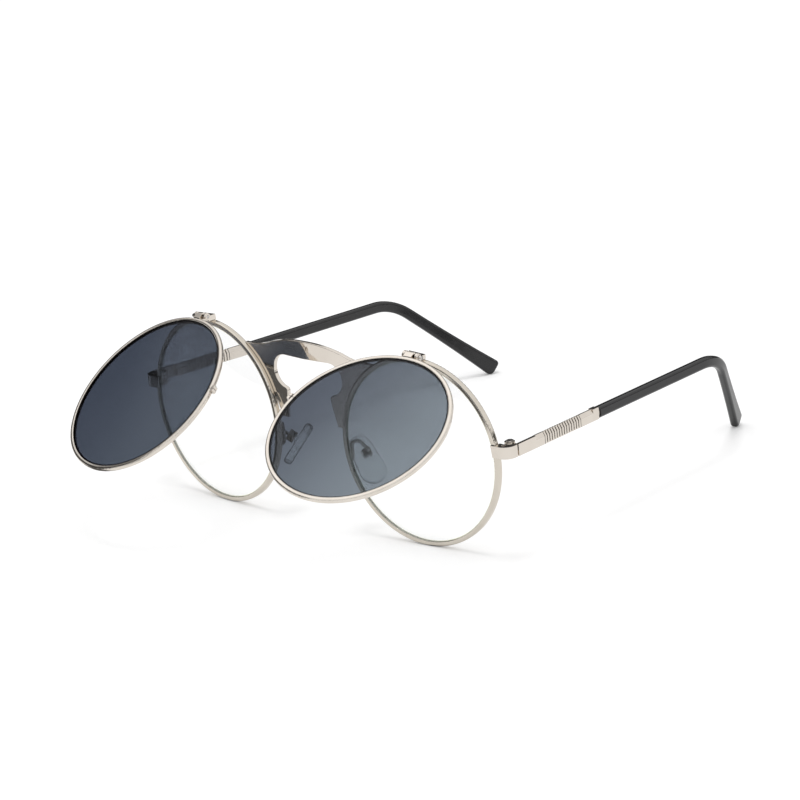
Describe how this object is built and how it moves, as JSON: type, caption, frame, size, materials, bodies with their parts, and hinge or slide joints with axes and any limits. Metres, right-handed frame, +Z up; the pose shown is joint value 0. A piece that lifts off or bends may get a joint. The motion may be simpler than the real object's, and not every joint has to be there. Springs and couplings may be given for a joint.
{
  "type": "flip-up sunglasses",
  "caption": "Round wire-rim sunglasses: tinted lenses on hinged rims flip up off fixed clear lenses; keyhole bridge plate, nose pads, ribbed folding temples with plastic tips.",
  "frame": {"origin": "on the table, below the middle of the box round the open glasses", "axes": "+X to the wearer's left, +Y from the lenses towards the ears, +Z up"},
  "size_m": [0.1344, 0.1686, 0.0536],
  "materials": {
    "polished_metal": "polished warm nickel silver",
    "screw_steel": "turned steel",
    "core_wire": "drawn wire",
    "clear_lens": "polished clear lens",
    "tinted_lens": "polished grey-blue tint",
    "tip_plastic": "satin black acetate",
    "pad_silicone": "clear silicone"
  },
  "bodies": {
    "front": {"bridge_plate": "polished_metal", "rim_left": "polished_metal", "clear_lens_left": "clear_lens", "rim_lock_left": "polished_metal", "rim_screw_left": "screw_steel", "end_piece_left": "polished_metal", "temple_screw_left": "screw_steel", "flip_base_left": "polished_metal", "flip_pin_left": "screw_steel", "pad_box_left": "polished_metal", "pad_screw_left": "screw_steel", "pad_arm_left": "polished_metal", "rim_right": "polished_metal", "clear_lens_right": "clear_lens", "rim_lock_right": "polished_metal", "rim_screw_right": "screw_steel", "end_piece_right": "polished_metal", "temple_screw_right": "screw_steel", "flip_base_right": "polished_metal", "flip_pin_right": "screw_steel", "pad_box_right": "polished_metal", "pad_screw_right": "screw_steel", "pad_arm_right": "polished_metal"},
    "flip_left": {"flip_rim_left": "polished_metal", "tinted_lens_left": "tinted_lens", "flip_lock_left": "polished_metal", "flip_screw_left": "screw_steel", "flip_leaf_left": "polished_metal"},
    "temple_left": {"temple_bar_left": "polished_metal", "temple_core_left": "core_wire", "temple_tip_left": "tip_plastic"},
    "pad_left": {"nose_pad_left": "pad_silicone"},
    "flip_right": {"flip_rim_right": "polished_metal", "tinted_lens_right": "tinted_lens", "flip_lock_right": "polished_metal", "flip_screw_right": "screw_steel", "flip_leaf_right": "polished_metal"},
    "temple_right": {"temple_bar_right": "polished_metal", "temple_core_right": "core_wire", "temple_tip_right": "tip_plastic"},
    "pad_right": {"nose_pad_right": "pad_silicone"}
  },
  "joints": [
    {"name": "flip_left_hinge", "type": "hinge", "parent": "front", "child": "flip_left", "pos_m": [0.03982, -0.03791, 0.05226], "axis": [-0.9929, -0.0869, 0.0818], "range_deg": [-61.34, 35.66]},
    {"name": "temple_left_hinge", "type": "hinge", "parent": "front", "child": "temple_left", "pos_m": [0.0638, -0.03081, 0.02928], "axis": [0, 0, 1], "range_deg": [-3, 80]},
    {"name": "pad_left_rock", "type": "hinge", "parent": "front", "child": "pad_left", "pos_m": [0.01379, -0.03238, 0.02013], "axis": [0.3908, 0.8948, 0.2159], "range_deg": [-6, 6]},
    {"name": "flip_right_hinge", "type": "hinge", "parent": "front", "child": "flip_right", "pos_m": [-0.03982, -0.03791, 0.05226], "axis": [-0.9929, 0.0869, -0.0818], "range_deg": [-52.02, 44.98]},
    {"name": "temple_right_hinge", "type": "hinge", "parent": "front", "child": "temple_right", "pos_m": [-0.0638, -0.03081, 0.02928], "axis": [0, 0, -1], "range_deg": [-3, 70]},
    {"name": "pad_right_rock", "type": "hinge", "parent": "front", "child": "pad_right", "pos_m": [-0.01379, -0.03238, 0.02013], "axis": [0.3908, -0.8948, -0.2159], "range_deg": [-6, 6]}
  ]
}
